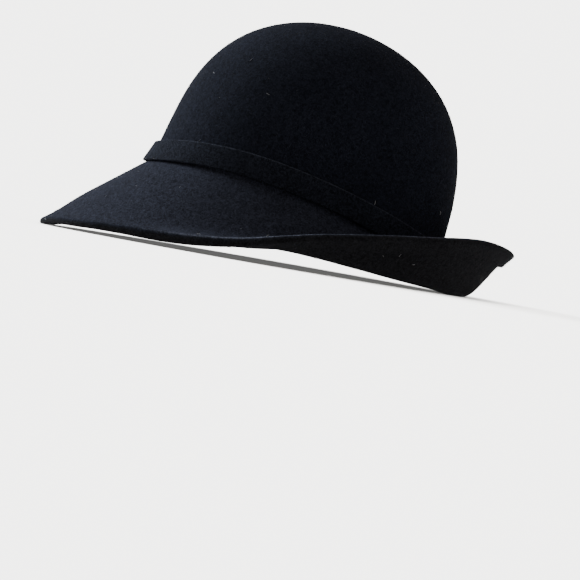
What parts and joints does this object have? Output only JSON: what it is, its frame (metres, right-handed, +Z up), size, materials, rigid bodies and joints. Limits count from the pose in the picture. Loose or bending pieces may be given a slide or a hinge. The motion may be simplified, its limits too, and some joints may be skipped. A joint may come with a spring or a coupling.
{
  "type": "felt fedora hat",
  "caption": "Navy-black wool felt hat with a smooth round crown, a plain felt band, and a brim snapped down in front and rolled up at the sides and back.",
  "frame": {"origin": "centre of the bounding box at its bottom, on the surface that the hat rests on", "axes": "+Z up, the front of the hat faces -Y, the wearer's left is +X; metres"},
  "size_m": [0.2782, 0.3246, 0.1678],
  "materials": {
    "body_felt": "soft brushed wool felt, navy black, slightly fuzzy",
    "band_felt": "close wool felt strip, navy black, a shade darker than the body"
  },
  "bodies": {
    "root": {"hat_body": "body_felt", "hat_band": "band_felt"}
  },
  "joints": []
}
